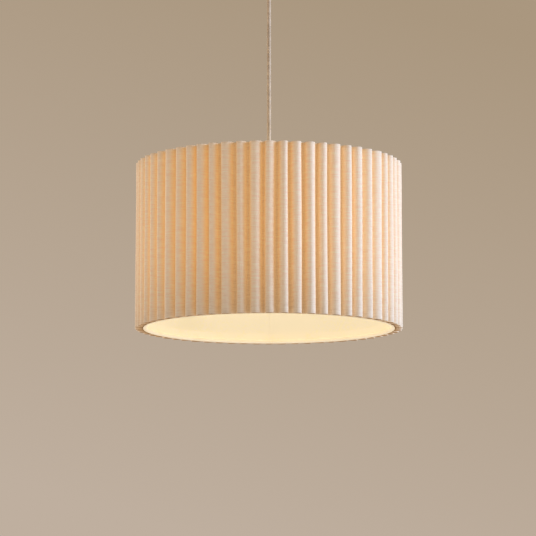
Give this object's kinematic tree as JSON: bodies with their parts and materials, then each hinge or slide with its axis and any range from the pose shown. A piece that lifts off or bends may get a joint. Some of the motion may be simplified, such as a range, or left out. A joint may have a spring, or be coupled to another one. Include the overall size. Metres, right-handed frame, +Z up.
{
  "type": "pendant lamp shade",
  "caption": "Drum pendant shade in pleated linen over a cream liner, with spider, lampholder, lamp, cord and ceiling canopy.",
  "frame": {"origin": "on the ceiling, at the middle of the mounting bracket's top face, on the axis that everything hangs on", "axes": "+Z up into the ceiling, along the cord and the shade's axis; -Y towards the viewer; +X to the viewer's right"},
  "size_m": [0.4, 0.4, 0.565],
  "materials": {
    "linen": "coarse plain-weave linen with slubs, in stitched-free organ pleats, lit through from inside",
    "liner": "smooth satin styrene, warm cream",
    "binding": "woven cotton tape, glued",
    "coated_steel": "off-white powder coat",
    "holder_plastic": "moulded, semi-gloss",
    "steatite": "unglazed, fine grained",
    "contact_brass": "pressed sheet, bright",
    "lamp_metal": "nickel plated, rolled thread",
    "lamp_insulator": "opaque black glass",
    "lamp_body": "fine moulded texture",
    "led_board": "white solder mask",
    "lamp_globe": "opal, frosted inside, warm white light",
    "cord_textile": "braided textile sleeve, sand",
    "core_brown": "smooth insulation",
    "core_blue": "smooth insulation",
    "zinc_steel": "zinc plated",
    "nylon": "natural nylon",
    "canopy_steel": "off-white powder coat, satin"
  },
  "bodies": {
    "ceiling_fitting": {"mounting_bracket": "zinc_steel", "clamp_back": "nylon", "clamp_front": "nylon", "clamp_screw_left": "zinc_steel", "clamp_screw_right": "zinc_steel", "terminal_block": "nylon", "terminal_screw_1": "zinc_steel", "terminal_screw_2": "zinc_steel", "terminal_screw_3": "zinc_steel", "terminal_screw_4": "zinc_steel", "inner_cord": "cord_textile", "core_brown": "core_brown", "core_blue": "core_blue", "canopy_cup": "canopy_steel", "canopy_collar": "canopy_steel", "collar_nut": "zinc_steel", "set_screw": "zinc_steel"},
    "cord": {"cord": "cord_textile"},
    "cord_grip": {"cord_grip": "holder_plastic"},
    "lampholder": {"holder_cap": "holder_plastic", "holder_skirt": "holder_plastic", "holder_insert": "steatite", "screw_shell": "contact_brass", "centre_contact": "contact_brass"},
    "shade_ring": {"shade_ring": "holder_plastic"},
    "shade": {"cover_back": "linen", "cover_front": "linen", "liner": "liner", "top_rim_wire": "coated_steel", "bottom_rim_wire": "coated_steel", "top_binding": "binding", "bottom_binding": "binding", "spoke_1": "coated_steel", "spoke_2": "coated_steel", "spoke_3": "coated_steel", "fitter_ring": "coated_steel"},
    "lamp": {"lamp_contact": "lamp_metal", "lamp_insulator": "lamp_insulator", "lamp_cap": "lamp_metal", "lamp_body": "lamp_body", "led_board": "led_board", "lamp_globe": "lamp_globe"}
  },
  "joints": [
    {"name": "cord_swing", "type": "hinge", "parent": "ceiling_fitting", "child": "cord", "pos_m": [0, 0, -0.0553], "axis": [0, 1, 0], "range_deg": [-20, 20]},
    {"name": "holder_swing", "type": "hinge", "parent": "cord", "child": "cord_grip", "pos_m": [0, 0, -0.2934], "axis": [1, 0, 0], "range_deg": [-20, 20]},
    {"name": "cord_twist", "type": "hinge", "parent": "cord_grip", "child": "lampholder", "pos_m": [0, 0, -0.3097], "axis": [0, 0, 1], "range_deg": [-180, 180]},
    {"name": "ring_travel", "type": "slide", "parent": "lampholder", "child": "shade_ring", "axis": [0, 0, -1], "range_m": [0, 0.018]},
    {"name": "shade_turn", "type": "hinge", "parent": "shade_ring", "child": "shade", "pos_m": [0, 0, -0.34], "axis": [0, 0, 1], "continuous": true},
    {"name": "lamp_travel", "type": "slide", "parent": "lampholder", "child": "lamp", "axis": [0, 0, -1], "range_m": [0, 0.028]}
  ]
}
